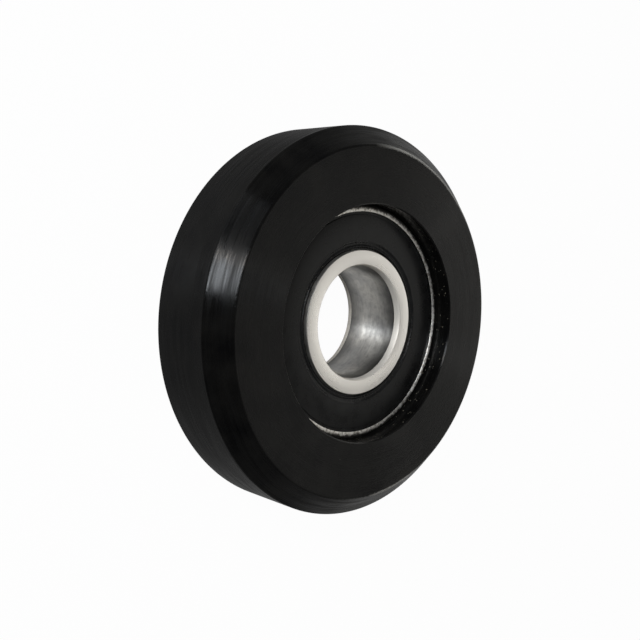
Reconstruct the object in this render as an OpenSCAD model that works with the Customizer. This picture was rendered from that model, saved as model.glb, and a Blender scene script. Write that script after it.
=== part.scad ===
// Bearing wheel: a turned black nylon roller with 45 degree edges, pressed on a sealed
// deep groove ball bearing.  It lies on its back face: Z is the axle's direction, Z = 0 is
// the back face of the wheel, and all lengths are in millimetres.

/* [Wheel] */
// Diameter of the tread
wheel_d = 102; // [100:0.5:130]
// Width of the wheel from back face to front face
wheel_w = 28; // [27:0.5:40]
// Width of the 45 degree bevel beside the tread, the same at both ends
bevel = 5.2; // [2:0.1:6]
// Depth of the bearing's front face below the wheel's front face
front_recess = 5; // [3:0.1:6]
// Diameter of the opening in the lip behind the bearing
lip_d = 55; // [54:0.5:58]
// Radius that rounds off the outer corners of the wheel
corner_r = 0.5; // [0.2:0.1:1]
// Small chamfer at the mouths of the wheel's bore
mouth_chamfer = 0.3; // [0.1:0.1:0.6]

/* [Bearing] */
// Bore of the inner ring, which the axle goes through
bore_d = 30; // [30:0.01:30.05]
// Outside diameter of the outer ring
bearing_d = 62; // [61.9:0.01:62]
// Width of both rings
bearing_w = 20; // [19:0.1:20]
// Chamfer at the two ends of the bore
bore_chamfer = 0.4; // [0.3:0.1:0.8]
// Chamfer on the outside edges of the outer ring
ring_chamfer = 0.7; // [0.5:0.1:0.9]
// Diameter of the inner ring's face, where the seal lips run
inner_face_d = 38.3; // [37.8:0.1:38.6]
// Inside diameter of the recess in the outer ring that holds a seal
seal_seat_d = 58.3; // [57.8:0.1:58.5]

/* [Balls and cage] */
// Number of balls
ball_count = 9; // [7:1:9]
// Diameter of a ball
ball_d = 9.525; // [9:0.005:9.525]
// Gap between a ball and each raceway at rest
race_gap = 0.02; // [0.01:0.01:0.05]
// Gap between a ball and its pocket in the cage
pocket_gap = 0.15; // [0.1:0.05:0.25]
// Thickness of the cage's sheet steel
cage_t = 0.8; // [0.6:0.1:0.9]
// Diameter of a rivet's shank
rivet_d = 1.6; // [1.2:0.1:1.8]

/* [Seals] */
// Depth of a seal's outside face below the rings' faces
seal_drop = 0.3; // [0.2:0.05:0.5]
// Depth of a seal's lip below the rings' faces
lip_drop = 1.05; // [0.9:0.05:1.2]
// Gap between a seal's lip and the inner ring
lip_gap = 0.05; // [0.03:0.01:0.1]

/* [Hidden] */
$fn = 96;

cut = 1;                                      // how far a cutting shape runs past what it cuts
bearing_r = bearing_d / 2;
half_w = bearing_w / 2;                       // from the bearing's middle plane to a face
bearing_z = wheel_w - front_recess - half_w;  // height of the bearing's middle plane
pitch_r = (bore_d + bearing_d) / 4;           // radius of the circle through the balls' centres
ball_r = ball_d / 2;
ball_step = 360 / ball_count;
race_r = 0.515 * ball_d;                      // radius of the raceways' section
inner_race_r = pitch_r - ball_r - race_gap;   // bottom of the inner raceway
outer_race_r = pitch_r + ball_r + race_gap;   // bottom of the outer raceway
inner_shoulder_r = inner_race_r + 0.2 * ball_d;
outer_shoulder_r = outer_race_r - 0.2 * ball_d;
inner_face_r = inner_face_d / 2;
seal_seat_r = seal_seat_d / 2;
seat_depth = 1.75;                            // depth of a seal's recess in the outer ring
land_depth = 2.3;                             // depth of the land on which a seal's lip runs
edge_break = 0.25;                            // chamfer on the bearing's small edges
bead_h = 0.22;                                // how far a seal's bead stands into its groove

cage_in_r = pitch_r - 2.1;
cage_out_r = pitch_r + 2.1;
pocket_r = ball_r + pocket_gap;
rivet_r = rivet_d / 2;
rivet_head_r = 1.3;
rivet_head_h = 0.6;
rivet_hole_gap = 0.02;

insert_t = 0.45;                              // thickness of a seal's steel insert
insert_in_r = inner_face_r + 2;
insert_out_r = seal_seat_r - 0.45;
rubber_t = 0.55;                              // thickness of the rubber outside the insert

// Points of an arc round c, from the angle a0 to the angle a1
function arc(c, r, a0, a1, steps = 6) =
    [for (i = [0:steps]) c + r * [cos(a0 + (a1 - a0) * i / steps), sin(a0 + (a1 - a0) * i / steps)]];

// Rounded corner of the wheel's section: p is the sharp corner between two edges whose outward
// normals point along the angles n0 and n1
function round_corner(p, n0, n1) =
    let (half = (n1 - n0) / 2,
         reach = corner_r / cos(half),
         mid = (n0 + n1) / 2)
    arc(p - reach * [cos(mid), sin(mid)], corner_r, n0, n1);

module wheel_body() {
    wheel_r = wheel_d / 2;
    face_r = wheel_r - bevel;
    seat_z = bearing_z - half_w;              // the lip's inner face, which the bearing sits on
    section = concat(
        [[lip_d / 2, mouth_chamfer], [lip_d / 2 + mouth_chamfer, 0]],
        round_corner([face_r, 0], -90, -45),
        round_corner([wheel_r, bevel], -45, 0),
        round_corner([wheel_r, wheel_w - bevel], 0, 45),
        round_corner([face_r, wheel_w], 45, 90),
        [[bearing_r + mouth_chamfer, wheel_w], [bearing_r, wheel_w - mouth_chamfer]],
        [[bearing_r, seat_z], [lip_d / 2, seat_z]]
    );
    color("#1d1d1c") rotate_extrude() polygon(section);
}

// Puts a piece of the bearing in its place in the wheel
module at_bearing() {
    translate([0, 0, bearing_z]) children();
}

// Repeats a piece once for each ball; offset 0.5 puts it halfway between two balls
module round_pitch(offset = 0) {
    for (i = [0:ball_count - 1])
        rotate([0, 0, (i + offset) * ball_step]) translate([pitch_r, 0, 0]) children();
}

module outer_ring() {
    seat_z = half_w - seat_depth;
    section = [
        [bearing_r, -half_w + ring_chamfer],
        [bearing_r, half_w - ring_chamfer],
        [bearing_r - ring_chamfer, half_w],
        [seal_seat_r + edge_break, half_w],
        [seal_seat_r, half_w - edge_break],
        [seal_seat_r, seat_z + 1],
        [seal_seat_r + bead_h, seat_z + 0.8],
        [seal_seat_r + bead_h, seat_z + 0.2],
        [seal_seat_r, seat_z],
        [outer_shoulder_r, seat_z],
        [outer_shoulder_r, -seat_z],
        [seal_seat_r, -seat_z],
        [seal_seat_r + bead_h, -seat_z - 0.2],
        [seal_seat_r + bead_h, -seat_z - 0.8],
        [seal_seat_r, -seat_z - 1],
        [seal_seat_r, -half_w + edge_break],
        [seal_seat_r + edge_break, -half_w],
        [bearing_r - ring_chamfer, -half_w]
    ];
    color("#a9a49a") at_bearing() rotate_extrude() difference() {
        polygon(section);
        translate([outer_race_r - race_r, 0]) circle(r = race_r);
    }
}

module inner_ring() {
    bore_r = bore_d / 2;
    land_z = half_w - land_depth;
    section = [
        [bore_r, -half_w + bore_chamfer],
        [bore_r + bore_chamfer, -half_w],
        [inner_face_r - edge_break, -half_w],
        [inner_face_r, -half_w + edge_break],
        [inner_face_r, -land_z],
        [inner_shoulder_r, -land_z + edge_break],
        [inner_shoulder_r, land_z - edge_break],
        [inner_face_r, land_z],
        [inner_face_r, half_w - edge_break],
        [inner_face_r - edge_break, half_w],
        [bore_r + bore_chamfer, half_w],
        [bore_r, half_w - bore_chamfer]
    ];
    color("#cbc6bd") at_bearing() rotate_extrude() difference() {
        polygon(section);
        translate([inner_race_r + race_r, 0]) circle(r = race_r);
    }
}

module ball(i) {
    color("#d4d5d6") at_bearing() rotate([0, 0, (i - 1) * ball_step]) translate([pitch_r, 0, 0])
        sphere(r = ball_r);
}

// A flat ring that starts at z = 0
module flat_ring(in_r, out_r, h) {
    difference() {
        cylinder(r = out_r, h = h);
        translate([0, 0, -cut]) cylinder(r = in_r, h = h + 2 * cut);
    }
}

// One half of the ribbon cage: a pressed strip with a round pocket over each ball and a flat
// land between two balls, where the halves are riveted together
module cage_half() {
    dome_r = pocket_r + cage_t;
    intersection() {
        flat_ring(cage_in_r, cage_out_r, dome_r + cut);
        difference() {
            union() {
                cylinder(r = cage_out_r + cut, h = cage_t);
                round_pitch() sphere(r = dome_r);
            }
            round_pitch() sphere(r = pocket_r);
            round_pitch(0.5) translate([0, 0, -cut])
                cylinder(r = rivet_r + rivet_hole_gap, h = cage_t + 2 * cut);
        }
    }
}

module cage_front() {
    color("#b9b2a2") at_bearing() cage_half();
}

module cage_back() {
    color("#b9b2a2") at_bearing() mirror([0, 0, 1]) cage_half();
}

// A low round rivet head that sits on z = 0
module rivet_head() {
    dome_r = (rivet_head_r * rivet_head_r + rivet_head_h * rivet_head_h) / (2 * rivet_head_h);
    intersection() {
        translate([0, 0, rivet_head_h - dome_r]) sphere(r = dome_r);
        cylinder(r = rivet_head_r + cut, h = rivet_head_h + cut);
    }
}

module rivet() {
    union() {
        translate([0, 0, -cage_t]) cylinder(r = rivet_r, h = 2 * cage_t);
        translate([0, 0, cage_t]) rivet_head();
        mirror([0, 0, 1]) translate([0, 0, cage_t]) rivet_head();
    }
}

module cage_rivets() {
    color("#9c988f") at_bearing() round_pitch(0.5) rivet();
}

// The moulded rubber of a seal: a bead that snaps into the outer ring, a flat outside face with
// a low step at its rim, and inside it a groove, a ridge and a thin lip beside the inner ring
module seal_rubber() {
    face_z = half_w - seal_drop;
    back_z = face_z - rubber_t;               // where the rubber meets its steel insert
    seat_z = half_w - seat_depth;
    lip_r = inner_face_r + lip_gap;
    lip_z = half_w - lip_drop;
    rim_h = 0.25;                             // depth of the step at the rubber's rim
    groove_r = inner_face_r + 1.4;            // middle of the groove between the face and the ridge
    ridge_r = inner_face_r + 0.9;             // middle of the ridge beside the lip
    section = concat(
        [[lip_r, lip_z - 0.55], [lip_r + 0.3, lip_z - 0.7], [insert_in_r, lip_z - 0.45]],
        [[insert_in_r, back_z], [insert_out_r, back_z], [insert_out_r, seat_z]],
        [[seal_seat_r, seat_z], [seal_seat_r + bead_h, seat_z + 0.25]],
        [[seal_seat_r + bead_h, seat_z + 0.75], [seal_seat_r, seat_z + 0.95]],
        [[seal_seat_r, face_z - rim_h], [seal_seat_r - 0.7, face_z - rim_h]],
        [[seal_seat_r - 0.8, face_z], [groove_r + 0.85, face_z]],
        [[groove_r + 0.4, face_z - 0.45], [groove_r, face_z - 0.5]],
        arc([ridge_r, lip_z + 0.25], 0.3, 20, 160, 5),
        [[lip_r + 0.45, lip_z], [lip_r + 0.1, lip_z], [lip_r, lip_z - 0.1]]
    );
    rotate_extrude() polygon(section);
}

// The steel ring that stiffens a seal, bonded to the rubber's inside and turned down at its edge
module seal_insert() {
    back_z = half_w - seal_drop - rubber_t;
    rim_h = 0.75;
    section = [
        [insert_in_r, back_z],
        [insert_in_r, back_z - insert_t],
        [insert_out_r - insert_t, back_z - insert_t],
        [insert_out_r - insert_t, back_z - rim_h],
        [insert_out_r, back_z - rim_h],
        [insert_out_r, back_z]
    ];
    rotate_extrude() polygon(section);
}

module seal_front() {
    color("#191919") at_bearing() seal_rubber();
}

module seal_back() {
    color("#191919") at_bearing() mirror([0, 0, 1]) seal_rubber();
}

module seal_front_insert() {
    color("#8f8f8d") at_bearing() seal_insert();
}

module seal_back_insert() {
    color("#8f8f8d") at_bearing() mirror([0, 0, 1]) seal_insert();
}

wheel_body();
outer_ring();
inner_ring();
for (i = [1:ball_count]) ball(i);
cage_front();
cage_back();
cage_rivets();
seal_front();
seal_back();
seal_front_insert();
seal_back_insert();
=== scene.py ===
"""Looks of a bearing wheel: a turned black nylon roller on a sealed deep groove ball bearing.

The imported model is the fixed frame.  Every part that can be seen is modelled here again, with finer
edges and the marks of its making, and the parts inside the bearing keep their solids and get a
finish.  Lengths are in metres, Z is the axle's direction, and the wheel lies on its back face.
"""

import logging
import math
import random
from abc import ABC, abstractmethod
from collections.abc import Callable, Iterable, Sequence
from dataclasses import dataclass, field
from enum import Enum
from typing import Any

import bpy
from mathutils import Matrix, Vector

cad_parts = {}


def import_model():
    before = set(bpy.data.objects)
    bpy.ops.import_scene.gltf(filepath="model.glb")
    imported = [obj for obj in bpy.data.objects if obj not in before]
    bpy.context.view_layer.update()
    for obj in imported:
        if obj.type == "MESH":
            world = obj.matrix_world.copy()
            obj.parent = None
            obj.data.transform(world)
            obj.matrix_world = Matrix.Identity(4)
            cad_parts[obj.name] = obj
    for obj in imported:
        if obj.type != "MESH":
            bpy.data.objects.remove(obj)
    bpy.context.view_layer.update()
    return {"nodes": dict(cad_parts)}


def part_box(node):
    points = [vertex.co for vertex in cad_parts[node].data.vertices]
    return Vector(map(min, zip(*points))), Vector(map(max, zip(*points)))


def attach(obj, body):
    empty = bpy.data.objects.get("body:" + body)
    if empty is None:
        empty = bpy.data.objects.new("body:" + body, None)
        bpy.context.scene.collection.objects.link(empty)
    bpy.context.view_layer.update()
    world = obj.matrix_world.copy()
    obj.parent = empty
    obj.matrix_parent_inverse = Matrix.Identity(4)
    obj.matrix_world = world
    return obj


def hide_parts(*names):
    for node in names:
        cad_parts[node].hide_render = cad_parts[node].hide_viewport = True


LOG = logging.getLogger("bearing_wheel")
MM = 0.001
Point = tuple[float, float]
Triple = tuple[float, float, float]
Test = Callable[[float, float], bool]
Socket = bpy.types.NodeSocket

COOL: Triple = (0.95, 1.0, 1.06)
WARM: Triple = (1.0, 0.985, 0.94)
# Heights of the planes halfway along the bearing and the wheel, and of one between them, which
# the tool marks of both are laid out from.
BEARING_MIDDLE = 13.0 * MM
WHEEL_MIDDLE = 14.0 * MM
MARKS_MIDDLE = 13.5 * MM
SMOOTH_BELOW = math.radians(32)


class Body(Enum):
    """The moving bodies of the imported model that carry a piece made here."""

    INNER = "inner_ring"
    WHEEL = "wheel"


class Side(Enum):
    """The two ends of the bearing along the axle, as the sign of Z."""

    FRONT = 1
    BACK = -1


# --------------------------------------------------------------------------------------- nodes


class Nodes:
    """Adds nodes to one node tree and links them."""

    def __init__(self, tree: bpy.types.NodeTree) -> None:
        """Keeps the tree.

        Args:
            tree: The tree that the nodes go into.
        """
        self.tree = tree

    def add(self, kind: str, inputs: dict | None = None, **settings: Any) -> bpy.types.Node:
        """Adds one node.

        Args:
            kind: The node's type.
            inputs: Socket name or number to the value it holds, or to the socket it is fed from.
            settings: Properties of the node itself.

        Returns:
            The new node.
        """
        node = self.tree.nodes.new(kind)
        for key, value in settings.items():
            setattr(node, key, value)
        for key, value in (inputs or {}).items():
            if isinstance(value, Socket):
                self.tree.links.new(value, node.inputs[key])
            else:
                node.inputs[key].default_value = value
        return node

    def maths(self, operation: str, *values: Any) -> Socket:
        """Gives the result of a Math node on one to three numbers or sockets."""
        return self.add("ShaderNodeMath", dict(enumerate(values)), operation=operation).outputs[0]

    def vector(self, operation: str, *values: Any, result: str = "Vector") -> Socket:
        """Gives the named result of a Vector Math node on vectors or sockets."""
        node = self.add("ShaderNodeVectorMath", dict(enumerate(values)), operation=operation)
        return node.outputs[result]

    def scaled(self, vector: Socket, share: Any) -> Socket:
        """Gives a vector or colour times a number or socket."""
        inputs = {0: vector, "Scale": share}
        return self.add("ShaderNodeVectorMath", inputs, operation="SCALE").outputs["Vector"]

    def axis(self, vector: Socket, name: str) -> Socket:
        """Gives the X, Y or Z part of a vector."""
        return self.add("ShaderNodeSeparateXYZ", {0: vector}).outputs[name]

    def spread(self, value: Any, low: float, high: float, start: float = 0.3,
               end: float = 0.7) -> Socket:
        """Maps a range of a value onto another range, and holds it there outside.

        Args:
            value: The value, such as a noise or a distance.
            low: What start becomes.
            high: What end becomes.
            start: One end of the value's range.
            end: The other end of the value's range.

        Returns:
            The mapped value.
        """
        inputs = {"Value": value, "From Min": start, "From Max": end, "To Min": low, "To Max": high}
        return self.add("ShaderNodeMapRange", inputs).outputs["Result"]

    def blend(self, share: Any, first: Any, second: Any) -> Socket:
        """Mixes two colours.

        Args:
            share: How much of the second colour there is, from 0 to 1.
            first: A colour or a socket.
            second: A colour or a socket.

        Returns:
            The mixed colour.
        """
        inputs = {0: share}
        for number, colour in ((6, first), (7, second)):
            inputs[number] = colour if isinstance(colour, Socket) else (*colour, 1.0)
        return self.add("ShaderNodeMix", inputs, data_type="RGBA").outputs[2]

    def seen_by(self, *rays: str) -> Socket:
        """Tells kinds of ray apart.

        Args:
            rays: Names of outputs of the Light Path node.

        Returns:
            1 for the named kinds of ray and 0 for all others.
        """
        path = self.add("ShaderNodeLightPath")
        total = path.outputs[rays[0]]
        for ray in rays[1:]:
            total = self.maths("MAXIMUM", total, path.outputs[ray])
        return total

    def mixed(self, share: Socket, first: Socket, second: Socket) -> Socket:
        """Mixes two shaders by a share of the second."""
        return self.add("ShaderNodeMixShader", {0: share, 1: first, 2: second}).outputs[0]


class Shader(Nodes):
    """Builds one material for turned and moulded pieces round the axle."""

    def __init__(self, name: str) -> None:
        """Starts an empty material.

        Args:
            name: The material's name.
        """
        self.material = bpy.data.materials.new(name)
        self.material.use_nodes = True
        super().__init__(self.material.node_tree)
        self.tree.nodes.clear()
        self.place = self.add("ShaderNodeTexCoord").outputs["Object"]

    def flat(self) -> Socket:
        """Gives the shaded point moved along the axle into one plane."""
        return self.vector("MULTIPLY", self.place, (1.0, 1.0, 0.0))

    def radius(self) -> Socket:
        """Gives the distance of the shaded point from the axle."""
        return self.vector("LENGTH", self.flat(), result="Value")

    def spoke(self) -> Socket:
        """Gives the direction from the axle to the shaded point."""
        return self.vector("NORMALIZE", self.flat())

    def around(self) -> Socket:
        """Gives the direction that runs round the axle, along the tool marks."""
        turned = self.vector("CROSS_PRODUCT", (0.0, 0.0, 1.0), self.place)
        return self.vector("NORMALIZE", turned)

    def height(self) -> Socket:
        """Gives the height of the shaded point above the floor."""
        return self.axis(self.place, "Z")

    def off(self, value: Socket, target: float) -> Socket:
        """Gives how far a value is from a target, on either side."""
        return self.maths("ABSOLUTE", self.maths("SUBTRACT", value, target))

    def tool_marks(self, pitch: float, arcs: float, detail: float = 2.0) -> Socket:
        """Gives a noise drawn out round the axle, as a cutting tool or a grinding wheel leaves it.

        Args:
            pitch: The usual distance between two marks.
            arcs: How often a mark changes on its way round; small numbers make long marks.
            detail: How much finer noise lies on top.

        Returns:
            The noise, from 0 to 1.
        """
        rise = -0.6
        away = self.off(self.height(), MARKS_MIDDLE)
        along = self.maths("MULTIPLY_ADD", away, rise, self.radius())
        across = self.maths("MULTIPLY", along, 1.0 / pitch)
        stacked = self.add("ShaderNodeCombineXYZ", {"Z": across}).outputs[0]
        point = self.vector("ADD", self.scaled(self.spoke(), arcs), stacked)
        return self.noise(point, 1.0, detail)

    def noise(self, point: Socket, scale: float, detail: float) -> Socket:
        """Gives a noise from 0 to 1 at a point."""
        inputs = {"Vector": point, "Scale": scale, "Detail": detail}
        return self.add("ShaderNodeTexNoise", inputs).outputs["Fac"]

    def grain(self, size: float, detail: float = 2.0) -> Socket:
        """Gives an even noise whose blotches are about as large as size."""
        return self.noise(self.place, 1.0 / size, detail)

    def specks(self, spacing: float, size: float) -> Socket:
        """Gives small scattered specks.

        Args:
            spacing: The usual distance between two specks.
            size: The largest radius of a speck.

        Returns:
            1 inside a speck and 0 elsewhere.
        """
        cells = self.add("ShaderNodeTexVoronoi", {"Vector": self.place, "Scale": 1.0 / spacing})
        reach = self.maths("MULTIPLY", cells.outputs["Distance"], spacing / size)
        return self.spread(reach, 1.0, 0.0, 0.5, 1.0)

    def relief(self, layers: Sequence[tuple[Socket, float]]) -> Socket:
        """Stacks bump layers.

        Args:
            layers: The noise of each layer and its depth in metres.

        Returns:
            The new normal.
        """
        normal = None
        for height, depth in layers:
            inputs = {"Height": height, "Distance": depth, "Strength": 1.0}
            if normal is not None:
                inputs["Normal"] = normal
            normal = self.add("ShaderNodeBump", inputs).outputs["Normal"]
        return normal

    def finish(self, inputs: dict) -> bpy.types.Material:
        """Closes the material with one Principled surface.

        Args:
            inputs: The surface's inputs.

        Returns:
            The material.
        """
        surface = self.add("ShaderNodeBsdfPrincipled", inputs)
        self.add("ShaderNodeOutputMaterial", {"Surface": surface.outputs["BSDF"]})
        return self.material

    def brushed(self, share: float) -> dict:
        """Gives the inputs that draw a highlight out across marks that run round the axle."""
        return {"Anisotropic": share, "Anisotropic Rotation": 0.25, "Tangent": self.around()}


# ------------------------------------------------------------------------------------ finishes


class Finish(ABC):
    """A surface finish that makes its own material the first time it is used."""

    name: str

    @abstractmethod
    def shade(self, shader: Shader) -> bpy.types.Material:
        """Builds the material's nodes.

        Args:
            shader: The empty material.

        Returns:
            The finished material.
        """

    def material(self) -> bpy.types.Material:
        """Gives the finish's material, made once."""
        return bpy.data.materials.get(self.name) or self.shade(Shader(self.name))

    def dress(self, piece: bpy.types.Object) -> None:
        """Gives the whole piece this finish."""
        piece.data.materials.clear()
        piece.data.materials.append(self.material())


@dataclass(frozen=True)
class TurnedNylon(Finish):
    """Black nylon as it comes off the lathe: satin, with fine rings that catch the light."""

    name: str = "turned_black_nylon"
    dark: Triple = (0.0013, 0.0013, 0.0014)
    light: Triple = (0.0046, 0.0044, 0.0040)
    # Colour of specks: dust on the turned faces, painted glints on the bore.
    dust_and_glint: Triple = (0.11, 0.11, 0.10)
    rough: float = 0.265
    anisotropy: float = 0.97
    mark_depth: float = 0.045 * MM
    speck_gap: float = 9 * MM
    speck_size: float = 0.20 * MM
    burr_r: float = 45.7 * MM
    burr_depth: float = 0.05 * MM
    tread_half: float = 8.8 * MM
    slope_from: Point = (8.0 * MM, 9.5 * MM)
    face_from: Point = (13.8 * MM, 14.4 * MM)
    specular: float = 0.13
    feed_share: float = 0.35
    # Grey of a rubbed scuff, and of a painted highlight along the front corner.
    scuff_and_highlight: Triple = (0.19, 0.185, 0.17)
    scuff_and_highlight_arcs: tuple[Triple, ...] = ((162.0, 0.88, 0.97), (21.0, 0.975, 0.995))

    def corner_scuff_and_highlight(self, shader: Shader) -> Socket:
        """Paints the front corner of face and slope grey: a scuff at 21 degrees, a painted highlight
        at 162.

        Args:
            shader: The material in the making.

        Returns:
            The share of scuff and painted highlight, from 0 to 1.
        """
        spoke = shader.spoke()
        scuff_and_highlight = None
        for angle, start, full in self.scuff_and_highlight_arcs:
            turn = math.radians(angle)
            middle = (math.cos(turn), math.sin(turn), 0.0)
            facing = shader.vector("DOT_PRODUCT", spoke, middle, result="Value")
            share = shader.spread(facing, 0.0, 1.0, start, full)
            scuff_and_highlight = share if scuff_and_highlight is None else shader.maths("MAXIMUM", scuff_and_highlight, share)
        off = shader.off(shader.radius(), self.burr_r + 0.15 * MM)
        tooth = shader.grain(0.6 * MM, detail=4.0)
        ragged = shader.maths("MULTIPLY_ADD", tooth, -0.5 * MM, 0.25 * MM)
        band = shader.spread(shader.maths("ADD", off, ragged), 0.85, 0.0, 0.2 * MM, 0.6 * MM)
        front = shader.maths("GREATER_THAN", shader.height(), WHEEL_MIDDLE)
        return shader.maths("MULTIPLY", shader.maths("MULTIPLY", scuff_and_highlight, band), front)

    def on_slope(self, shader: Shader) -> Socket:
        """Gives the strength of the cutter's marks: weak on tread and face, full on the slope."""
        away = shader.off(shader.height(), MARKS_MIDDLE)
        return shader.maths("SUBTRACT", shader.spread(away, 0.3, 1.0, *self.slope_from),
                            shader.spread(away, 0.0, 0.75, *self.face_from))

    def shade(self, shader: Shader) -> bpy.types.Material:
        """Builds a dark satin surface with rings, specks, a corner painted grey and burnished edges.

        Args:
            shader: The empty material.

        Returns:
            The finished material.
        """
        rings = shader.tool_marks(pitch=1.1 * MM, arcs=2.5, detail=4.0)
        feed = shader.tool_marks(pitch=0.5 * MM, arcs=4.0, detail=3.0)
        scuffs = shader.grain(8 * MM, detail=5.0)
        on_slope = self.on_slope(shader)
        colour = shader.blend(shader.spread(scuffs, 0.0, 1.0), self.dark, self.light)
        # Specks of dust; on the bore the dense specks are painted glints.
        colour = shader.blend(shader.specks(self.speck_gap, self.speck_size), colour, self.dust_and_glint)
        # Painted highlight: grey along the front corner near 162 degrees; near 21 degrees it is a
        # scuff.
        colour = shader.blend(self.corner_scuff_and_highlight(shader), colour, self.scuff_and_highlight)
        off_burr = shader.off(shader.radius(), self.burr_r)
        burr = shader.maths("MULTIPLY", shader.spread(off_burr, 1.0, 0.0, 0.1 * MM, 0.5 * MM),
                            shader.grain(0.7 * MM, detail=3.0))
        streak = shader.maths("ADD", shader.spread(rings, -0.08, 0.09, 0.36, 0.64),
                              shader.spread(feed, -0.07, 0.09, 0.38, 0.62))
        sheen = shader.maths("ADD", shader.maths("MULTIPLY", streak, on_slope),
                             shader.spread(scuffs, self.rough - 0.02, self.rough + 0.03))
        if self.burr_depth > 0.0:
            off_tread = shader.off(shader.off(shader.height(), WHEEL_MIDDLE), self.tread_half)
            off_corner = shader.maths("MINIMUM", off_burr, off_tread)
            burnish = shader.spread(off_corner, -0.07, 0.0, 0.25 * MM, 0.6 * MM)
            sheen = shader.maths("ADD", sheen, burnish)
        return shader.finish({
            "Base Color": colour,
            "Roughness": sheen,
            "Specular IOR Level": self.specular,
            **shader.brushed(self.anisotropy),
            "Normal": shader.relief([
                (shader.maths("MULTIPLY", rings, on_slope), self.mark_depth),
                (shader.maths("MULTIPLY", feed, on_slope), self.feed_share * self.mark_depth),
                (burr, self.burr_depth),
            ]),
        })


@dataclass(frozen=True)
class GroundSteel(Finish):
    """Bearing steel with grinding marks that run round the axle."""

    name: str
    dark: Triple
    light: Triple
    rough: float
    marks: float
    mark_depth: float
    stain_share: float = 0.0
    stain: Triple = (0.16, 0.12, 0.08)
    anisotropy: float = 0.5
    metal: float = 1.0
    cloud: float = 3.5 * MM
    end_shade: float = 1.0
    end_from: Point = (2.8 * MM, 8.5 * MM)
    blotch_depth: float = 0.004 * MM
    # Painted shade over the ring's outer edge, in the corner against the wheel.
    corner_shade: Triple = (0.012, 0.011, 0.009)
    corner_shade_from: float = 0.0
    corner_shade_to: float = 0.0

    def with_corner_shade(self, shader: Shader, colour: Socket) -> Socket:
        """Paints shade with a ragged edge over the outside of a ring, where it meets the wheel.

        Args:
            shader: The material in the making.
            colour: The clean colour.

        Returns:
            The colour with its painted shade.
        """
        ragged = shader.spread(shader.grain(0.9 * MM, detail=5.0), -0.35 * MM, 0.35 * MM)
        reach = shader.maths("ADD", shader.radius(), ragged)
        share = shader.spread(reach, 0.0, 0.92, self.corner_shade_from, self.corner_shade_to)
        return shader.blend(share, colour, self.corner_shade)

    def shade(self, shader: Shader) -> bpy.types.Material:
        """Builds a clouded steel surface with ground marks, stains and, where asked, painted shade.

        Args:
            shader: The empty material.

        Returns:
            The finished material.
        """
        marks = shader.tool_marks(pitch=self.marks, arcs=3.0, detail=3.0)
        blotch = shader.grain(self.cloud, detail=4.0)
        tone = shader.maths("MULTIPLY_ADD", shader.maths("SUBTRACT", blotch, marks), 0.75, marks)
        colour = shader.blend(shader.spread(tone, 0.0, 1.0), self.dark, self.light)
        # Painted shade: the colour darkens towards both ends of the bore.
        if self.end_shade < 1.0:
            away = shader.off(shader.height(), BEARING_MIDDLE)
            shade = shader.spread(away, 1.0, self.end_shade, *self.end_from)
            colour = shader.scaled(colour, shade)
        spots = shader.spread(shader.grain(1.1 * MM, detail=5.0), 0.0, self.stain_share, 0.5, 0.62)
        colour = shader.blend(spots, colour, self.stain)
        # Painted shade: a dark band with a ragged edge over the ring's outer edge.
        if self.corner_shade_to > 0.0:
            colour = self.with_corner_shade(shader, colour)
        rough = shader.maths("ADD", shader.spread(blotch, -0.04, 0.05),
                             shader.spread(marks, self.rough, self.rough + 0.08))
        return shader.finish({
            "Base Color": colour,
            "Metallic": self.metal,
            "Roughness": rough,
            **shader.brushed(self.anisotropy),
            "Normal": shader.relief([(marks, self.mark_depth), (blotch, self.blotch_depth)]),
        })


@dataclass(frozen=True)
class PolishedSteel(Finish):
    """Lapped steel of a ball, nearly a mirror."""

    name: str = "lapped_ball_steel"
    dark: Triple = (0.60, 0.61, 0.62)
    light: Triple = (0.70, 0.70, 0.69)

    def shade(self, shader: Shader) -> bpy.types.Material:
        """Builds a mirror with a thin film and hair scratches.

        Args:
            shader: The empty material.

        Returns:
            The finished material.
        """
        film = shader.grain(2.2 * MM, detail=3.0)
        scratch = shader.grain(0.25 * MM, detail=2.0)
        return shader.finish({
            "Base Color": shader.blend(shader.spread(film, 0.0, 1.0), self.dark, self.light),
            "Metallic": 1.0,
            "Roughness": shader.spread(scratch, 0.06, 0.13),
            "Normal": shader.relief([(scratch, 0.0006 * MM)]),
        })


@dataclass(frozen=True)
class PressedSteel(Finish):
    """Cold rolled sheet steel, pressed to shape, with a thin film of oil."""

    name: str
    dark: Triple
    light: Triple
    rough: float = 0.34
    rolling: Triple = (1.0, 9.0, 1.0)
    rolled_scale: float = 900.0

    def shade(self, shader: Shader) -> bpy.types.Material:
        """Builds sheet steel with the grain of its rolling.

        Args:
            shader: The empty material.

        Returns:
            The finished material.
        """
        rolled = shader.vector("MULTIPLY", shader.place, self.rolling)
        grain = shader.noise(rolled, self.rolled_scale, 3.0)
        film = shader.grain(3.0 * MM, detail=3.0)
        rough = shader.maths("ADD", shader.spread(grain, -0.05, 0.05),
                             shader.spread(film, self.rough - 0.06, self.rough + 0.06))
        return shader.finish({
            "Base Color": shader.blend(shader.spread(film, 0.0, 1.0), self.dark, self.light),
            "Metallic": 1.0,
            "Roughness": rough,
            "Normal": shader.relief([(grain, 0.004 * MM), (film, 0.01 * MM)]),
        })


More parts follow.
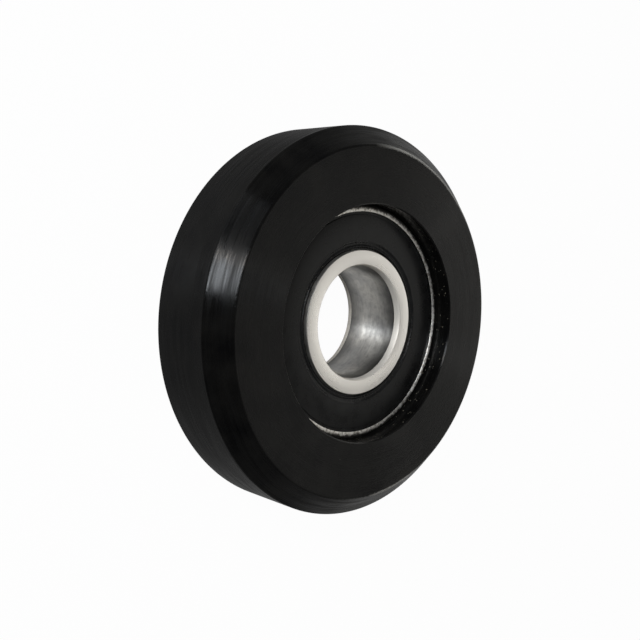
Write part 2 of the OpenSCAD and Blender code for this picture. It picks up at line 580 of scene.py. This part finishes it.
@dataclass(frozen=True)
class MouldedRubber(Finish):
    """Black nitrile rubber of a seal, with the faint tooth of its mould and grit at its lip."""

    name: str = "moulded_seal_rubber"
    dark: Triple = (0.0035, 0.0035, 0.0036)
    light: Triple = (0.0080, 0.0080, 0.0078)
    grit: Triple = (0.09, 0.08, 0.065)
    lip_to: Point = (20.9 * MM, 21.9 * MM)
    specular: float = 0.15

    def shade(self, shader: Shader) -> bpy.types.Material:
        """Builds dull rubber with fine rings, and grit beside the lip.

        Args:
            shader: The empty material.

        Returns:
            The finished material.
        """
        bloom = shader.grain(4.0 * MM, detail=4.0)
        tooth = shader.grain(0.16 * MM, detail=1.0)
        rings = shader.tool_marks(pitch=0.6 * MM, arcs=1.0)
        at_lip = shader.spread(shader.radius(), 1.0, 0.0, *self.lip_to)
        specks = shader.maths("MULTIPLY", at_lip, shader.specks(0.9 * MM, 0.10 * MM))
        colour = shader.blend(shader.spread(bloom, 0.0, 1.0), self.dark, self.light)
        crumbs = shader.maths("MULTIPLY", at_lip, shader.grain(0.45 * MM, detail=4.0))
        return shader.finish({
            "Base Color": shader.blend(specks, colour, self.grit),
            "Roughness": shader.spread(bloom, 0.24, 0.34),
            "Specular IOR Level": self.specular,
            "Normal": shader.relief([
                (rings, 0.006 * MM),
                (tooth, 0.003 * MM),
                (crumbs, 0.10 * MM),
            ]),
        })


NYLON = TurnedNylon()
# The bore of the wheel: its dense pale specks are painted glints.
BORED_NYLON = TurnedNylon(
    "bored_black_nylon", rough=0.17, anisotropy=0.3, mark_depth=0.012 * MM,
    dust_and_glint=(0.12, 0.11, 0.085), speck_gap=1.2 * MM, speck_size=0.17 * MM, burr_depth=0.0)
INNER_FACE_STEEL = GroundSteel(
    "ground_inner_ring_steel", (0.68, 0.66, 0.63), (0.75, 0.73, 0.70),
    rough=0.26, marks=0.5 * MM, mark_depth=0.002 * MM, cloud=9 * MM)
# The bore: its colour is painted darker towards both ends, as shade.
BORE_STEEL = GroundSteel(
    "ground_bore_steel", (0.27, 0.27, 0.27), (0.78, 0.76, 0.71),
    rough=0.31, marks=0.35 * MM, mark_depth=0.004 * MM, anisotropy=0.93, cloud=6 * MM,
    stain_share=0.2, stain=(0.13, 0.125, 0.12), end_shade=0.24)
OUTER_STEEL = GroundSteel(
    "ground_outer_ring_steel", (0.74, 0.72, 0.68), (0.86, 0.84, 0.80),
    rough=0.50, marks=0.5 * MM, mark_depth=0.004 * MM, stain_share=0.6,
    stain=(0.14, 0.11, 0.075), anisotropy=0.7, metal=0.92, cloud=2.5 * MM,
    # Painted shade between these radii, where the ring meets the wheel.
    corner_shade_from=29.6 * MM, corner_shade_to=30.15 * MM)
# Painted shade: the seal's seat wall, deep in the gap beside the rubber, is near-black steel.
SHADED_SEAT_STEEL = GroundSteel(
    "shaded_seal_seat_steel", (0.10, 0.10, 0.10), (0.18, 0.18, 0.17),
    rough=0.22, marks=0.2 * MM, mark_depth=0.003 * MM)
EDGE_STEEL = GroundSteel(
    "rounded_edge_steel", (0.54, 0.51, 0.46), (0.61, 0.58, 0.53),
    rough=0.55, marks=0.3 * MM, mark_depth=0.002 * MM, anisotropy=0.6, metal=0.45)
# Painted shade: the inner ring's rounded outer edge, beside the gap to the seal, is dark steel.
SHADED_EDGE_STEEL = GroundSteel(
    "shaded_edge_steel", (0.16, 0.155, 0.145), (0.30, 0.29, 0.27),
    rough=0.52, marks=0.3 * MM, mark_depth=0.002 * MM, anisotropy=0.3)
RACE_STEEL = GroundSteel(
    "honed_raceway_steel", (0.50, 0.50, 0.50), (0.60, 0.60, 0.60),
    rough=0.12, marks=0.3 * MM, mark_depth=0.001 * MM, anisotropy=0.2)
BALL_STEEL = PolishedSteel()
CAGE_STEEL = PressedSteel("pressed_cage_steel", (0.36, 0.34, 0.30), (0.48, 0.46, 0.42))
RIVET_STEEL = PressedSteel(
    "headed_rivet_steel", (0.30, 0.29, 0.28), (0.44, 0.43, 0.42), rough=0.28)
INSERT_STEEL = PressedSteel(
    "pressed_insert_steel", (0.34, 0.34, 0.34), (0.46, 0.46, 0.46), rough=0.40)
RUBBER = MouldedRubber()


# -------------------------------------------------------------------------------------- meshes


class Lathe:
    """Draws a section beside the axle by extruding one point, and spins it about the axle."""

    def __init__(self, name: str, steps: int) -> None:
        """Sets the lathe up for one piece.

        Args:
            name: The piece's name.
            steps: Number of steps round the axle.
        """
        self.name = name
        self.steps = steps

    def turn(self, section: Sequence[Point]) -> bpy.types.Object:
        """Makes the turned piece.

        Args:
            section: Radius and height of each corner, in order round the closed section.

        Returns:
            The piece, with its place in its mesh.
        """
        bpy.ops.object.select_all(action="DESELECT")
        radius, height = section[0]
        bpy.ops.mesh.primitive_plane_add(size=MM, location=(radius, 0.0, height))
        piece = bpy.context.object
        piece.name = piece.data.name = self.name
        bpy.ops.object.mode_set(mode="EDIT")
        bpy.ops.mesh.select_all(action="SELECT")
        bpy.ops.mesh.merge(type="CENTER")
        for (r0, z0), (r1, z1) in zip(section, [*section[1:], section[0]]):
            move = {"value": (r1 - r0, 0.0, z1 - z0)}
            bpy.ops.mesh.extrude_region_move(TRANSFORM_OT_translate=move)
        bpy.ops.mesh.select_all(action="SELECT")
        bpy.ops.mesh.remove_doubles(threshold=1e-7)
        bpy.ops.mesh.spin(
            steps=self.steps, angle=math.tau, center=(0.0, 0.0, 0.0), axis=(0.0, 0.0, 1.0))
        bpy.ops.mesh.select_all(action="SELECT")
        bpy.ops.mesh.remove_doubles(threshold=1e-6)
        bpy.ops.mesh.normals_make_consistent(inside=False)
        bpy.ops.object.mode_set(mode="OBJECT")
        bpy.ops.object.transform_apply(location=True, rotation=True, scale=True)
        bpy.ops.object.shade_smooth_by_angle(angle=SMOOTH_BELOW)
        return piece


def dress_zones(piece: bpy.types.Object, rest: Finish, zones: Sequence[tuple[Finish, Test]],
                middle: float = 0.0) -> None:
    """Gives each face of a turned piece the finish of the first zone that it lies in.

    Args:
        piece: The piece.
        rest: The finish outside all zones.
        zones: Each zone's finish, with a test of a face's distance from the axle and from middle.
        middle: Height of the plane that the second distance is measured from.
    """
    rest.dress(piece)
    for finish, _ in zones:
        piece.data.materials.append(finish.material())
    for face in piece.data.polygons:
        out = math.hypot(face.center.x, face.center.y)
        away = abs(face.center.z - middle)
        found = (slot for slot, (_, inside) in enumerate(zones, 1) if inside(out, away))
        face.material_index = next(found, 0)
    LOG.info("%s: %d faces", piece.name, len(piece.data.polygons))


def rounded(corner: Point, before: Point, after: Point, radius: float,
            steps: int = 5) -> list[Point]:
    """Rounds one corner of a section.

    Args:
        corner: The sharp corner.
        before: The point before it.
        after: The point after it.
        radius: Radius of the round.
        steps: Number of parts of the arc.

    Returns:
        The arc's points, from the side of before to the side of after.
    """
    c, b, a = Vector(corner), Vector(before), Vector(after)
    u, v = (b - c).normalized(), (a - c).normalized()
    half = 0.5 * math.acos(max(-1.0, min(1.0, u.dot(v))))
    centre = c + (u + v).normalized() * (radius / math.sin(half))
    start = c + u * (radius / math.tan(half)) - centre
    end = c + v * (radius / math.tan(half)) - centre
    sweep = math.atan2(start.x * end.y - start.y * end.x, start.dot(end))
    return [tuple(centre + Matrix.Rotation(sweep * i / steps, 2) @ start) for i in range(steps + 1)]


def arc(centre: Point, radius: float, start: float, end: float, steps: int) -> list[Point]:
    """Draws an arc.

    Args:
        centre: Centre of the arc.
        radius: Radius of the arc.
        start: Angle of the first point in degrees.
        end: Angle of the last point in degrees.
        steps: Number of parts.

    Returns:
        The arc's points.
    """
    angles = [math.radians(start + (end - start) * i / steps) for i in range(steps + 1)]
    return [(centre[0] + radius * math.cos(t), centre[1] + radius * math.sin(t)) for t in angles]


@dataclass
class ToolPath:
    """The shallow rings that a cutting tool leaves on a turned line of a section."""

    pitch: float
    depth: float
    seed: int
    wave: float = 0.0
    wave_count: float = 2.5

    def cut(self, start: Point, end: Point) -> list[Point]:
        """Cuts one straight line of a section into rings.

        Args:
            start: First end of the line; the material is on the left hand towards end.
            end: Other end of the line.

        Returns:
            The points between the two ends, each a little into the material.
        """
        chance = random.Random(self.seed)
        s, e = Vector(start), Vector(end)
        along = (e - s).normalized()
        inward = Vector((-along.y, along.x))
        count = max(2, round((e - s).length / self.pitch))
        points = []
        for i in range(1, count):
            share = i / count
            bow = 0.5 - 0.5 * math.cos(math.tau * self.wave_count * share)
            depth = self.depth * chance.random() + self.wave * bow
            points.append(tuple(s + along * (e - s).length * share + inward * depth))
        return points


# -------------------------------------------------------------------------------------- pieces


@dataclass(frozen=True)
class BearingSize:
    """Sizes that the bearing's rings and seals share."""

    half_w: float = 10.0 * MM
    bore_r: float = 15.0 * MM
    outside_r: float = 31.0 * MM
    inner_face_r: float = 19.15 * MM
    seat_r: float = 29.15 * MM
    seat_depth: float = 1.75 * MM
    bead: float = 0.22 * MM

    @property
    def seat(self) -> float:
        """Gives the height of a seal's seat above the bearing's middle."""
        return self.half_w - self.seat_depth


@dataclass
class Roller:
    """The black nylon wheel."""

    bevel: float = 5.2 * MM
    bearing_r: float = 31.0 * MM
    lip_r: float = 27.5 * MM
    lip_z: float = 3.0 * MM
    corner_r: float = 0.5 * MM
    face_corner_r: float = 1.2 * MM
    corner_steps: int = 8
    mouth: float = 0.3 * MM
    steps: int = 384
    face: ToolPath = field(default_factory=lambda: ToolPath(0.5 * MM, 0.003 * MM, 3))
    slope: ToolPath = field(default_factory=lambda: ToolPath(0.40 * MM, 0.010 * MM, 5, 0.02 * MM))
    tread: ToolPath = field(default_factory=lambda: ToolPath(0.42 * MM, 0.005 * MM, 7))
    piece: bpy.types.Object = field(init=False)

    def section(self) -> list[Point]:
        """Draws the wheel's section, its outer lines cut into tool rings.

        Returns:
            The section's points, from the back lip round the outside to the bore.
        """
        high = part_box("wheel_body")[1]
        r, top = high.x, high.z
        face_r = r - self.bevel
        corners = [(self.lip_r, 0.0), (face_r, 0.0), (r, self.bevel), (r, top - self.bevel),
                   (face_r, top), (self.bearing_r, top)]
        radii = (0.0, self.face_corner_r, self.corner_r, self.corner_r, self.face_corner_r)
        rounds = [rounded(corners[i], corners[i - 1], corners[i + 1], radii[i], self.corner_steps)
                  for i in range(1, 5)]
        rim = (self.bearing_r + self.mouth, top)
        points = [(self.lip_r, self.mouth), (self.lip_r + self.mouth, 0.0)]
        for path, turned in zip((self.face, self.slope, self.tread, self.slope), rounds):
            points += path.cut(points[-1], turned[0]) + turned
        points += self.face.cut(points[-1], rim) + [rim, (self.bearing_r, top - self.mouth)]
        points += [(self.bearing_r, self.lip_z), (self.lip_r, self.lip_z)]
        return points

    def build(self) -> None:
        """Turns the wheel."""
        self.piece = Lathe("roller", self.steps).turn(self.section())
        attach(self.piece, Body.WHEEL.value)
        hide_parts("wheel_body")

    def dress(self) -> None:
        """Gives the wheel its turned finish, and its bore the smoother finish of a boring tool."""
        bored_to = self.bearing_r + 0.05 * MM
        dress_zones(self.piece, NYLON, [(BORED_NYLON, lambda out, away: out < bored_to)])


@dataclass
class BearingRings:
    """The inner and the outer ring of the bearing."""

    size: BearingSize = BearingSize()
    mouth_w: float = 0.5 * MM
    mouth_l: float = 1.7 * MM
    mouth_steps: int = 10
    ring_chamfer: float = 0.7 * MM
    rim_round: float = 0.17 * MM
    seat_round: float = 0.12 * MM
    edge_round: float = 0.5 * MM
    land_depth: float = 2.3 * MM
    ball_r: float = 4.7625 * MM
    pitch_r: float = 23.0 * MM
    race_gap: float = 0.02 * MM
    race_fit: float = 1.03
    race_steps: int = 12
    race_depth: float = 0.4
    race_half: float = 3.4 * MM
    edge: float = 0.25 * MM
    snap: Triple = (0.2 * MM, 0.8 * MM, 1.0 * MM)
    touch: float = 0.02 * MM
    shaded_edge_w: float = 0.16 * MM
    wall: float = 1.5 * MM
    steps: int = 288
    inner: bpy.types.Object = field(init=False)
    outer: bpy.types.Object = field(init=False)

    def race(self, sign: float) -> tuple[float, float, list[Point]]:
        """Draws the upper half of a raceway.

        Args:
            sign: 1 for the outer ring and -1 for the inner ring.

        Returns:
            Radius of the raceway's bottom, radius of its shoulder, and the arc between them.
        """
        race_r = self.race_fit * self.ball_r
        bottom = self.pitch_r + sign * (self.ball_r + self.race_gap)
        shoulder = bottom - sign * self.race_depth * self.ball_r
        centre = (bottom - sign * race_r, 0.0)
        swing = math.degrees(math.acos(sign * (shoulder - centre[0]) / race_r))
        start, end = (0.0, swing) if sign > 0.0 else (180.0, 180.0 - swing)
        return bottom, shoulder, arc(centre, race_r, start, end, self.race_steps)[1:]

    def whole(self, bottom: float, half: list[Point], straight: float) -> list[Point]:
        """Completes the upper half of a section with its mirror image, and sets it in the wheel.

        Args:
            bottom: Radius of the raceway's bottom.
            half: The upper half, from the raceway to the straight side.
            straight: Radius of the straight side.

        Returns:
            The whole section.
        """
        lower = [(r, -z) for r, z in reversed(half)]
        return [(r, z + BEARING_MIDDLE) for r, z in [(bottom, 0.0), *half, (straight, 0.0), *lower]]

    def mouth(self) -> list[Point]:
        """Gives the rounded mouth of the bore, from the ring's face down to the straight bore."""
        quarter = arc((0.0, 0.0), 1.0, 90.0, 0.0, self.mouth_steps)
        return [(self.size.bore_r + self.mouth_w * (1.0 - across),
                 self.size.half_w - self.mouth_l * (1.0 - up)) for across, up in quarter]

    def inner_section(self) -> list[Point]:
        """Draws the inner ring's section.

        Returns:
            The section's points, from the bottom of the raceway.
        """
        s, w = self.size, self.size.half_w
        land = w - self.land_depth
        bottom, shoulder, half = self.race(-1.0)
        half += [(shoulder, land - self.edge), (s.inner_face_r, land)]
        face_edge = (s.bore_r + self.mouth_w, w)
        half += rounded((s.inner_face_r, w), (s.inner_face_r, land), face_edge, self.rim_round)
        return self.whole(bottom, half + self.mouth(), s.bore_r)

    def outer_section(self) -> list[Point]:
        """Draws the outer ring's section.

        Returns:
            The section's points, from the bottom of the raceway.
        """
        s, w, seat = self.size, self.size.half_w, self.size.seat
        bottom, shoulder, half = self.race(1.0)
        low, high, top = (seat + step for step in self.snap)
        half += [(shoulder, seat), (s.seat_r, seat), (s.seat_r + s.bead, low),
                 (s.seat_r + s.bead, high), (s.seat_r, top)]
        rim = [(s.seat_r, top), (s.seat_r, w), (s.outside_r - self.ring_chamfer, w),
               (s.outside_r, w - self.ring_chamfer), (s.outside_r, 0.0)]
        for i, radius in ((1, self.seat_round), (2, self.edge_round), (3, self.edge_round)):
            half += rounded(rim[i], rim[i - 1], rim[i + 1], radius)
        return self.whole(bottom, half, s.outside_r)

    def build(self) -> None:
        """Turns both rings."""
        self.inner = Lathe("inner_race_ring", self.steps).turn(self.inner_section())
        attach(self.inner, Body.INNER.value)
        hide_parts("inner_ring")
        self.outer = Lathe("outer_race_ring", self.steps).turn(self.outer_section())
        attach(self.outer, Body.WHEEL.value)
        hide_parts("outer_ring")

    def dress(self) -> None:
        """Gives the rings ground ends and honed raceways, and the inner ring its ground bore."""
        s = self.size
        mouth_r, mouth_from = s.bore_r + self.mouth_w, s.half_w - self.mouth_l
        face_from = s.half_w - 0.1 * self.touch
        seat_r, seat_to = s.seat_r + 0.3 * MM, s.half_w - 5.0 * self.touch
        dress_zones(self.inner, INNER_FACE_STEEL, [
            (EDGE_STEEL, lambda out, away: out < mouth_r and mouth_from < away < face_from),
            (BORE_STEEL, lambda out, away: out < s.bore_r + self.touch),
            # The inner ring's outer edge gets the dark steel of painted shade.
            (SHADED_EDGE_STEEL, lambda out, away: out > s.inner_face_r - self.shaded_edge_w),
            (RACE_STEEL, lambda out, away: out > s.bore_r + self.wall and away < self.race_half),
        ], BEARING_MIDDLE)
        dress_zones(self.outer, OUTER_STEEL, [
            (RACE_STEEL, lambda out, away: out < s.outside_r - self.wall and away < self.race_half),
            (SHADED_SEAT_STEEL, lambda out, away: out < seat_r and away < seat_to),
        ], BEARING_MIDDLE)


@dataclass
class RubberSeal:
    """The moulded rubber of one of the bearing's two seals."""

    side: Side
    size: BearingSize = BearingSize()
    drop: float = 0.3 * MM
    rubber_t: float = 0.55 * MM
    lip_drop: float = 1.05 * MM
    lip_gap: float = 0.05 * MM
    insert_in: float = 2.0 * MM
    insert_out: float = 0.45 * MM
    groove_in: float = 1.4 * MM
    groove_depth: float = 0.5 * MM
    ridge_in: float = 0.9 * MM
    ridge_up: float = 0.25 * MM
    ridge_r: float = 0.3 * MM
    step_down: float = 0.25 * MM
    snap: Triple = (0.25 * MM, 0.75 * MM, 0.95 * MM)
    steps: int = 256
    piece: bpy.types.Object = field(init=False)

    def section(self) -> list[Point]:
        """Draws the section of the rubber at the front.

        Returns:
            The section's points, as heights above the bearing's middle.
        """
        s, seat = self.size, self.size.seat
        face = s.half_w - self.drop
        back = face - self.rubber_t
        lip_r = s.inner_face_r + self.lip_gap
        lip_z = s.half_w - self.lip_drop
        steel_in = s.inner_face_r + self.insert_in
        steel_out = s.seat_r - self.insert_out
        groove = s.inner_face_r + self.groove_in
        ridge = (s.inner_face_r + self.ridge_in, lip_z + self.ridge_up)
        bead = s.seat_r + s.bead
        step = face - self.step_down
        low, high, top = (seat + rise for rise in self.snap)
        points = [(lip_r, lip_z - 0.55 * MM), (lip_r + 0.3 * MM, lip_z - 0.7 * MM),
                  (steel_in, lip_z - 0.45 * MM), (steel_in, back), (steel_out, back),
                  (steel_out, seat), (s.seat_r, seat), (bead, low), (bead, high),
                  (s.seat_r, top), (s.seat_r, step), (s.seat_r - 0.7 * MM, step)]
        rim = (s.seat_r - 0.75 * MM, face)
        mouth = (groove + 0.85 * MM, face)
        floor = (groove + 0.4 * MM, face - 0.45 * MM)
        bottom = (groove, face - self.groove_depth)
        points += rounded(rim, points[-1], mouth, 0.12 * MM, 4)
        points += rounded(mouth, rim, floor, 0.35 * MM, 4)
        points += rounded(floor, mouth, bottom, 0.2 * MM, 3)
        points += [bottom, *arc(ridge, self.ridge_r, 20.0, 160.0, 10)]
        points += [(lip_r + 0.45 * MM, lip_z), (lip_r + 0.1 * MM, lip_z), (lip_r, lip_z - 0.1 * MM)]
        return points

    def build(self) -> None:
        """Moulds the rubber."""
        sign = self.side.value
        section = [(r, BEARING_MIDDLE + sign * z) for r, z in self.section()]
        name = self.side.name.lower()
        self.piece = Lathe(f"rubber_seal_{name}", self.steps).turn(section)
        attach(self.piece, Body.WHEEL.value)
        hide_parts(f"seal_{name}")

    def dress(self) -> None:
        """Gives the rubber its finish."""
        RUBBER.dress(self.piece)
        LOG.info("%s: %d faces", self.piece.name, len(self.piece.data.polygons))


@dataclass
class RollingParts:
    """The parts that run inside the bearing and keep their solids: balls, cage, rivets, inserts."""

    nodes: dict[str, bpy.types.Object]

    def dress(self) -> None:
        """Gives each inner part its finish."""
        finishes: dict[str, Finish] = {
            "ball": BALL_STEEL,
            "cage_rivets": RIVET_STEEL,
            "cage": CAGE_STEEL,
            "seal_front_insert": INSERT_STEEL,
            "seal_back_insert": INSERT_STEEL,
        }
        for name, node in self.nodes.items():
            found = next((f for start, f in finishes.items() if name.startswith(start)), None)
            if found is not None:
                found.dress(node)
                LOG.info("%s: %s", name, found.name)


# -------------------------------------------------------------------------------------- studio


@dataclass(frozen=True)
class Lamp:
    """One soft rectangular lamp that looks at the wheel; its angles are in degrees."""

    name: str
    azimuth: float
    elevation: float
    width: float
    height: float
    power: float
    colour: Triple = WARM
    distance: float = 0.9
    roll: float = 0.0

    def hang(self, aim: Vector) -> None:
        """Places the lamp round the wheel.

        Args:
            aim: The point that the lamp looks at.
        """
        data = bpy.data.lights.new(self.name, "AREA")
        data.shape = "RECTANGLE"
        data.size, data.size_y = self.width, self.height
        data.energy = self.power
        data.color = self.colour
        a, e = math.radians(self.azimuth), math.radians(self.elevation)
        out = Vector((math.cos(e) * math.cos(a), math.cos(e) * math.sin(a), math.sin(e)))
        lamp = bpy.data.objects.new(self.name, data)
        lamp.location = aim + out * self.distance
        turn = Matrix.Rotation(math.radians(self.roll), 3, "Z")
        lamp.rotation_euler = (out.to_track_quat("Z", "Y").to_matrix() @ turn).to_euler()
        lamp.visible_camera = False
        bpy.context.scene.collection.objects.link(lamp)


@dataclass(frozen=True)
class PaintedFloorPatch:
    """A round patch of the floor that mirrors see: painted light with a positive gain, painted shade
    with a negative one.
    """

    centre: Triple
    inner_r: float
    outer_r: float
    gain: float


LAMPS = (
    Lamp("key_strip", -106.5, 36.0, 0.152, 0.36, 3.9, COOL, distance=0.6, roll=19.0),
    Lamp("key_edge", -116.0, 45.0, 0.02, 0.17, 0.40, (1.0, 0.80, 0.60), distance=0.6),
    Lamp("key_haze", -130.0, 14.0, 0.5, 0.35, 1.2, COOL),
    Lamp("far_soft_box", 98.0, 40.0, 0.34, 0.54, 0.42),
    Lamp("right_soft_box", 45.0, 50.0, 0.6, 0.5, 0.42),
    Lamp("low_left_strip", 123.0, 11.0, 0.45, 0.30, 0.72),
    Lamp("low_right_strip", 57.0, 11.0, 0.4, 0.30, 0.38),
    Lamp("low_soft_box", 85.0, 21.0, 0.8, 0.24, 0.8),
)
# Painted shade beside the bore, a painted pool of light under it, and painted shade further off.
PAINTED_FLOOR_PATCHES = (
    PaintedFloorPatch((-0.013, 0.012, 0.0), 0.004, 0.015, -0.28),
    PaintedFloorPatch((0.0, 0.008, 0.0), 0.002, 0.010, 0.45),
    PaintedFloorPatch((-0.062, -0.030, 0.0), 0.012, 0.045, -0.12),
)


@dataclass
class Studio:
    """The floor, the surroundings, the lamps and the camera."""

    aim: Vector = field(default_factory=lambda: Vector((0.00079, -0.00325, 0.01093)))
    eye: Vector = field(default_factory=lambda: Vector((0.0, -0.169473, 0.185653)))
    roll: float = 97.95
    lens: float = 50.10
    nearest: float = 0.01
    floor_size: float = 6.0
    floor_tone: Triple = (0.5, 0.5, 0.5)
    floor_rough: float = 0.9
    white: float = 0.975
    fill: float = 0.65
    far_side: Triple = (-0.15, 0.99, 0.0)

    def lay_floor(self) -> None:
        """Lays a pale floor, white to the eye, that takes the shadow; mirrors see painted light and
        shade on it.
        """
        bpy.ops.object.select_all(action="DESELECT")
        bpy.ops.mesh.primitive_plane_add(size=self.floor_size)
        floor = bpy.context.object
        floor.name = "floor"
        material = bpy.data.materials.new("pale_floor")
        material.use_nodes = True
        nodes = Nodes(material.node_tree)
        matt = nodes.tree.nodes["Principled BSDF"]
        matt.inputs["Base Color"].default_value = (*self.floor_tone, 1.0)
        matt.inputs["Roughness"].default_value = self.floor_rough
        matt.inputs["Specular IOR Level"].default_value = 0.0
        place = nodes.add("ShaderNodeTexCoord").outputs["Object"]
        # Painted light for mirrors: the floor they see is lighter towards +Y, with painted patches of
        # light and shade.
        gleam = nodes.spread(nodes.axis(place, "Y"), 0.32, 0.48, -0.020, 0.040)
        for spot in PAINTED_FLOOR_PATCHES:
            off = nodes.vector("DISTANCE", place, spot.centre, result="Value")
            patch = nodes.spread(off, spot.gain, 0.0, spot.inner_r, spot.outer_r)
            gleam = nodes.maths("ADD", gleam, patch)
        painted_mirror_floor = nodes.add("ShaderNodeEmission", {"Strength": gleam}).outputs[0]
        plain = nodes.mixed(nodes.seen_by("Is Glossy Ray"), matt.outputs[0], painted_mirror_floor)
        seen = nodes.seen_by("Is Camera Ray", "Is Transmission Ray")
        share = nodes.maths("MULTIPLY", seen, self.white)
        both = nodes.mixed(share, plain, nodes.add("ShaderNodeEmission").outputs[0])
        nodes.tree.links.new(both, nodes.tree.nodes["Material Output"].inputs["Surface"])
        floor.data.materials.append(material)

    def light_room(self) -> None:
        """Makes a white backdrop, which fades in mirrors towards the near side, and a fill."""
        world = bpy.data.worlds.new("studio")
        bpy.context.scene.world = world
        world.use_nodes = True
        nodes = Nodes(world.node_tree)
        room = nodes.tree.nodes["Background"]
        room.inputs["Strength"].default_value = self.fill
        direction = nodes.add("ShaderNodeTexCoord").outputs["Generated"]
        away = nodes.vector("DOT_PRODUCT", direction, self.far_side, result="Value")
        rise = nodes.maths("ABSOLUTE", nodes.axis(direction, "Z"))
        horizon = nodes.maths("MULTIPLY", nodes.spread(rise, 1.0, 0.0, 0.0, 0.35),
                              nodes.spread(away, 0.0, 0.40, 0.35, 0.75))
        gleam = nodes.maths("ADD", nodes.spread(away, 0.02, 0.22, -0.6, 0.8), horizon)
        tint = nodes.blend(nodes.spread(away, 0.0, 1.0, -0.5, 0.5), COOL, WARM)
        backdrop = nodes.add("ShaderNodeBackground", {"Color": tint, "Strength": gleam}).outputs[0]
        pale = (self.white, self.white, self.white, 1.0)
        white = nodes.add("ShaderNodeBackground", {"Color": pale}).outputs[0]
        unseen = nodes.mixed(nodes.seen_by("Is Glossy Ray"), room.outputs[0], backdrop)
        seen = nodes.seen_by("Is Camera Ray", "Is Transmission Ray")
        both = nodes.mixed(seen, unseen, white)
        nodes.tree.links.new(both, nodes.tree.nodes["World Output"].inputs["Surface"])

    def place_camera(self) -> None:
        """Places the camera and turns it about its own axis."""
        camera = bpy.data.objects.new("camera", bpy.data.cameras.new("camera"))
        camera.data.lens = self.lens
        camera.data.clip_start = self.nearest
        look = (self.eye - self.aim).to_track_quat("Z", "Y").to_matrix().to_4x4()
        turn = Matrix.Rotation(math.radians(self.roll), 4, "Z")
        camera.matrix_world = Matrix.Translation(self.eye) @ look @ turn
        bpy.context.scene.collection.objects.link(camera)
        bpy.context.scene.camera = camera

    def build(self) -> None:
        """Sets up the whole studio."""
        self.place_camera()
        self.lay_floor()
        self.light_room()
        for lamp in LAMPS:
            lamp.hang(self.aim)
        bpy.context.scene.view_settings.view_transform = "Standard"


def corners(bounds: Iterable[Iterable[float]]) -> list[list[float]]:
    """Gives a box as plain lists of numbers."""
    return [[float(x) for x in corner] for corner in bounds]


def main() -> None:
    """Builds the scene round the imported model."""
    logging.basicConfig(level=logging.INFO, format="%(name)s %(message)s")
    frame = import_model()
    Studio().build()
    roller = Roller()
    rings = BearingRings()
    seals = [RubberSeal(side) for side in Side]
    for assembly in (roller, rings, *seals):
        assembly.build()
        assembly.dress()
    RollingParts(frame["nodes"]).dress()


if __name__ == "__main__":
    main()
